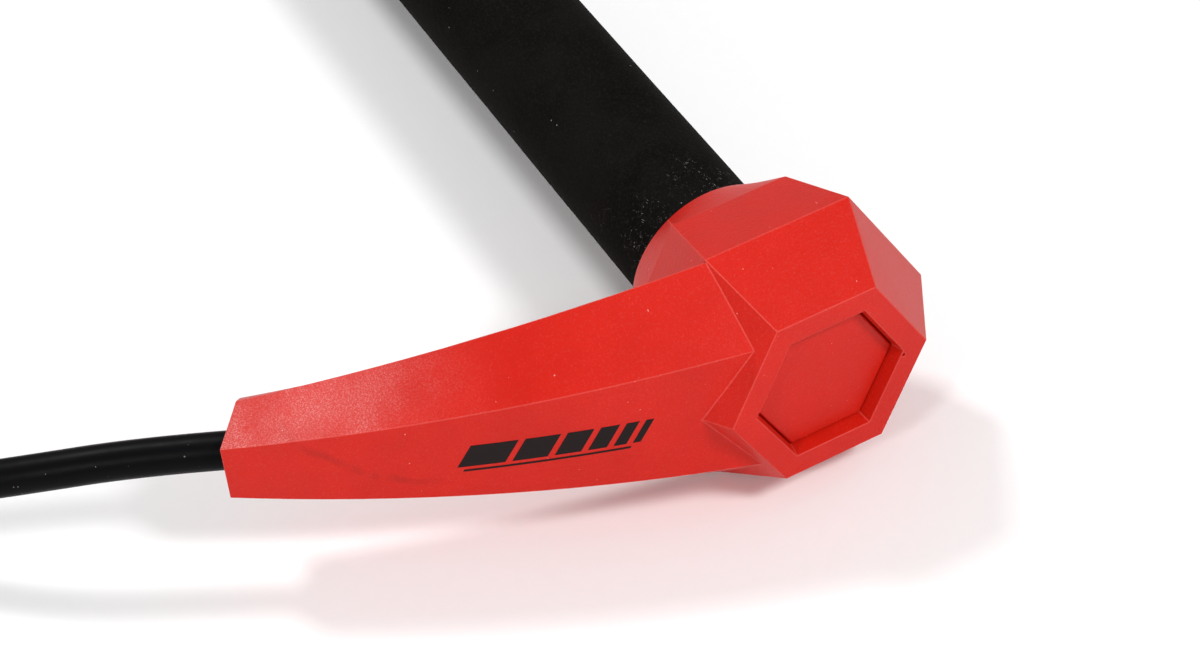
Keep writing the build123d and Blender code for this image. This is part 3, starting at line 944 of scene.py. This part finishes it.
class TOWHANDLE_OT_marks(bpy.types.Operator):
    """Print the plain slanted stripes on the outboard face of each tail."""

    bl_idname = "tow_handle.marks"
    bl_label = "Printed stripes"

    # Each stripe's start ahead of the head's axis and its width, in millimetres
    stripes = ((32.4, 1.3), (34.8, 2.1), (38.0, 3.1), (42.2, 4.3), (47.6, 5.7), (54.4, 7.6))
    line = (33.6, 27.0)
    sunk = -0.2 * MM

    def face(self, cap, forward, lift):
        """Plan points on the tail's outboard face, raised by lift: the chord, bowed out by a parabola."""
        run = np.array([cap.tip_forward - cap.root_forward, cap.tip_outboard - cap.root_outboard])
        size = np.hypot(*run)
        away = np.array([-run[1], run[0]]) / size
        share = (forward - cap.root_forward) / run[0]
        for _ in range(4):
            bow = 4 * cap.bulge * share * (1 - share)
            share = (forward - cap.root_forward - bow * away[0]) / run[0]
        bow = 4 * cap.bulge * share * (1 - share)
        outboard = cap.root_outboard + share * run[1] + bow * away[1]
        slope = run + 4 * cap.bulge * (1 - 2 * share)[..., None] * away
        slope /= np.linalg.norm(slope, axis=-1)[..., None]
        return forward - lift * slope[..., 1], outboard + lift * slope[..., 0]

    def execute(self, context):
        cap, sizes = settings("cap"), settings("mark")
        low, high = (np.array(corner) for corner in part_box("end_cap_right"))
        middle = (low[2] + high[2]) / 2 - sizes.centre_drop
        for side, mirror in zip(SIDES, (1, -1)):
            vertices, quads = [], []
            bars = [(start, width, 0.0, sizes.height) for start, width in self.stripes]
            for start, width, drop, height in (*bars, (*self.line, sizes.line_drop, sizes.line_height)):
                u, w = np.meshgrid(np.linspace(0, 1, 25), np.linspace(-0.5, 0.5, 7), indexing="ij")
                up = height * w - drop
                forward = (start + width * u) * MM - sizes.slant * up / sizes.height
                sheets = []
                for lift in (sizes.thickness, self.sunk):
                    ahead, outboard = self.face(cap, forward, lift)
                    x = cap.head_centre + outboard * math.cos(cap.toe) + ahead * math.sin(cap.toe)
                    y = cap.head_line + outboard * math.sin(cap.toe) - ahead * math.cos(cap.toe)
                    sheets.append(np.stack([mirror * x, y, middle + up], -1))
                grid = np.concatenate([sheets[0], sheets[1][:, ::-1]], axis=1)
                self.add(grid, vertices, quads)
            mesh = bpy.data.meshes.new(f"print_mark_{side}")
            mesh.from_pydata(np.concatenate(vertices), [], np.concatenate(quads))
            mesh.validate()
            thing = piece(f"print_mark_{side}", mesh, "printed_ink")
            outward(thing)
        return {"FINISHED"}

    def add(self, grid, vertices, quads):
        """One stripe as a closed box: front and back sheets joined round their edge."""
        rows, columns = grid.shape[:2]
        start = sum(len(block) for block in vertices)
        i, j = np.meshgrid(np.arange(rows - 1), np.arange(columns), indexing="ij")
        after = (j + 1) % columns
        here, below = i * columns, (i + 1) * columns
        walls = np.stack([here + j, here + after, below + after, below + j], -1)
        half = columns // 2
        k = np.arange(half - 1)
        ends = []
        for row, flip in ((0, False), (rows - 1, True)):
            end = np.stack([k, columns - 1 - k, columns - 2 - k, k + 1], -1) + row * columns
            ends.append(end[:, ::-1] if flip else end)
        vertices.append(grid.reshape(-1, 3))
        quads.append(np.concatenate([walls.reshape(-1, 4), *ends]) + start)


class TOWHANDLE_OT_grip(bpy.types.Operator):
    """Wrap the bar in suede, with a butt seam, and finish the core and the tube."""

    bl_idname = "tow_handle.grip"
    bl_label = "Grip"

    rings, sides, inner_step = 260, 128, 40

    def execute(self, context):
        sizes = settings("grip")
        low, high = (np.array(corner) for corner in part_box("grip_suede"))
        centre = (low + high) / 2
        radius = (high[2] - low[2]) / 2
        half = (high[0] - low[0]) / 2
        along = np.linspace(-half, half, self.rings)
        turn = np.linspace(0, 2 * math.pi, self.sides, endpoint=False)
        x, a = np.meshgrid(along, turn, indexing="ij")
        outer = self.outer(sizes, radius, x, a)
        inner = np.full_like(a, radius - sizes.thickness)
        back = slice(1, -1, self.inner_step)
        rows = [inner[:1], outer, inner[-1:], inner[::-1][back]]
        places = [x[:1], x, x[-1:], x[::-1][back]]
        turns = [a[:1], a, a[-1:], a[::-1][back]]
        r, x, a = (np.concatenate(parts) for parts in (rows, places, turns))
        grid = np.stack([centre[0] + x, centre[1] + r * np.sin(a), centre[2] + r * np.cos(a)], -1)
        mesh = surface("suede_wrap", grid, True, True)
        outward(piece("suede_wrap", mesh, "grip_suede", replaced=("grip_suede",)))
        repaint("grip_core", "grip_foam")
        repaint("bar_tube", "tube_aluminium")
        return {"FINISHED"}

    def outer(self, sizes, radius, x, a):
        """The wrap's radius: a few low waves round and along the bar, less the seam's groove."""
        long_waves = np.sin(61.0 * x + 2.0 * a) + np.sin(37.0 * x - 3.0 * a + 1.3)
        waves = (long_waves + 0.6 * np.sin(143.0 * x + 5.0 * a + 0.4)) / 2.6
        from_seam = (a - sizes.seam_turn + math.pi) % (2 * math.pi) - math.pi
        seam = np.exp(-((from_seam * radius / (0.5 * sizes.seam_width)) ** 2))
        return radius - sizes.waviness * (0.5 + 0.5 * waves) - sizes.seam_depth * seam


class TOWHANDLE_OT_fittings(bpy.types.Operator):
    """Finish what is inside the caps: knots, rope ends, stoppers, screws and inserts."""

    bl_idname = "tow_handle.fittings"
    bl_label = "Inner fittings"

    knot_points, knot_sides, knot_depth = 180, 20, 1.7

    def execute(self, context):
        finishes = {
            "rope_end": "rope_jacket",
            "stopper_washer": "washer_plastic",
            "cap_screw": "screw_steel",
            "screw_washer": "screw_steel",
            "tube_insert": "insert_plastic",
        }
        for side in SIDES:
            for node, material in finishes.items():
                repaint(f"{node}_{side}", material)
            self.knot(side)
        return {"FINISHED"}

    def knot(self, side):
        """A trefoil knot as a tube: its closed line winds twice round while it waves three times."""
        sizes = settings("rope")
        low, high = (np.array(corner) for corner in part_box(f"stopper_knot_{side}"))
        t = np.linspace(0, 2 * math.pi, self.knot_points, endpoint=False)
        size = sizes.knot_scale
        across = size * (np.sin(t) + 2 * np.sin(2 * t))
        over = size * (np.cos(t) - 2 * np.cos(2 * t))
        depth = -self.knot_depth * size * np.sin(3 * t)
        line = np.stack([across, over, depth], -1)
        mesh = tube(f"tied_knot_{side}", line, sizes.knot_strand, self.knot_sides)
        turned = Matrix.Rotation(math.pi / 2, 4, "X")
        mesh.transform(Matrix.Translation((low + high) / 2) @ turned)
        node = f"stopper_knot_{side}"
        outward(piece(f"tied_knot_{side}", mesh, "core_rope", replaced=(node,)))


class TOWHANDLE_PT_panel(bpy.types.Panel):
    """The tow handle's operators, in the order in which they run."""

    bl_idname = "TOWHANDLE_PT_panel"
    bl_label = "Tow handle"
    bl_space_type = "VIEW_3D"
    bl_region_type = "UI"
    bl_category = "Tow handle"

    def draw(self, context):
        for operator in OPERATORS:
            self.layout.operator(operator.bl_idname)


GROUPS = {
    "cap": CapSizes,
    "mark": MarkSizes,
    "grip": GripSizes,
    "rope": RopeSizes,
    "colours": HandleColours,
    "stage": StageSettings,
}
OPERATORS = (
    TOWHANDLE_OT_stage,
    TOWHANDLE_OT_coil_strap,
    TOWHANDLE_OT_bridle,
    TOWHANDLE_OT_caps,
    TOWHANDLE_OT_covers,
    TOWHANDLE_OT_marks,
    TOWHANDLE_OT_grip,
    TOWHANDLE_OT_fittings,
)


def register():
    for kind in (*GROUPS.values(), *OPERATORS, TOWHANDLE_PT_panel):
        bpy.utils.register_class(kind)
    for name, kind in GROUPS.items():
        setattr(bpy.types.Scene, "tow_handle_" + name, PointerProperty(type=kind))


def unregister():
    for name in GROUPS:
        delattr(bpy.types.Scene, "tow_handle_" + name)
    for kind in reversed((*GROUPS.values(), *OPERATORS, TOWHANDLE_PT_panel)):
        bpy.utils.unregister_class(kind)


def main():
    register()
    make_groups()
    make_materials()
    for operator in OPERATORS:
        group_name, action = operator.bl_idname.split(".")
        getattr(getattr(bpy.ops, group_name), action)()


if __name__ == "__main__":
    main()
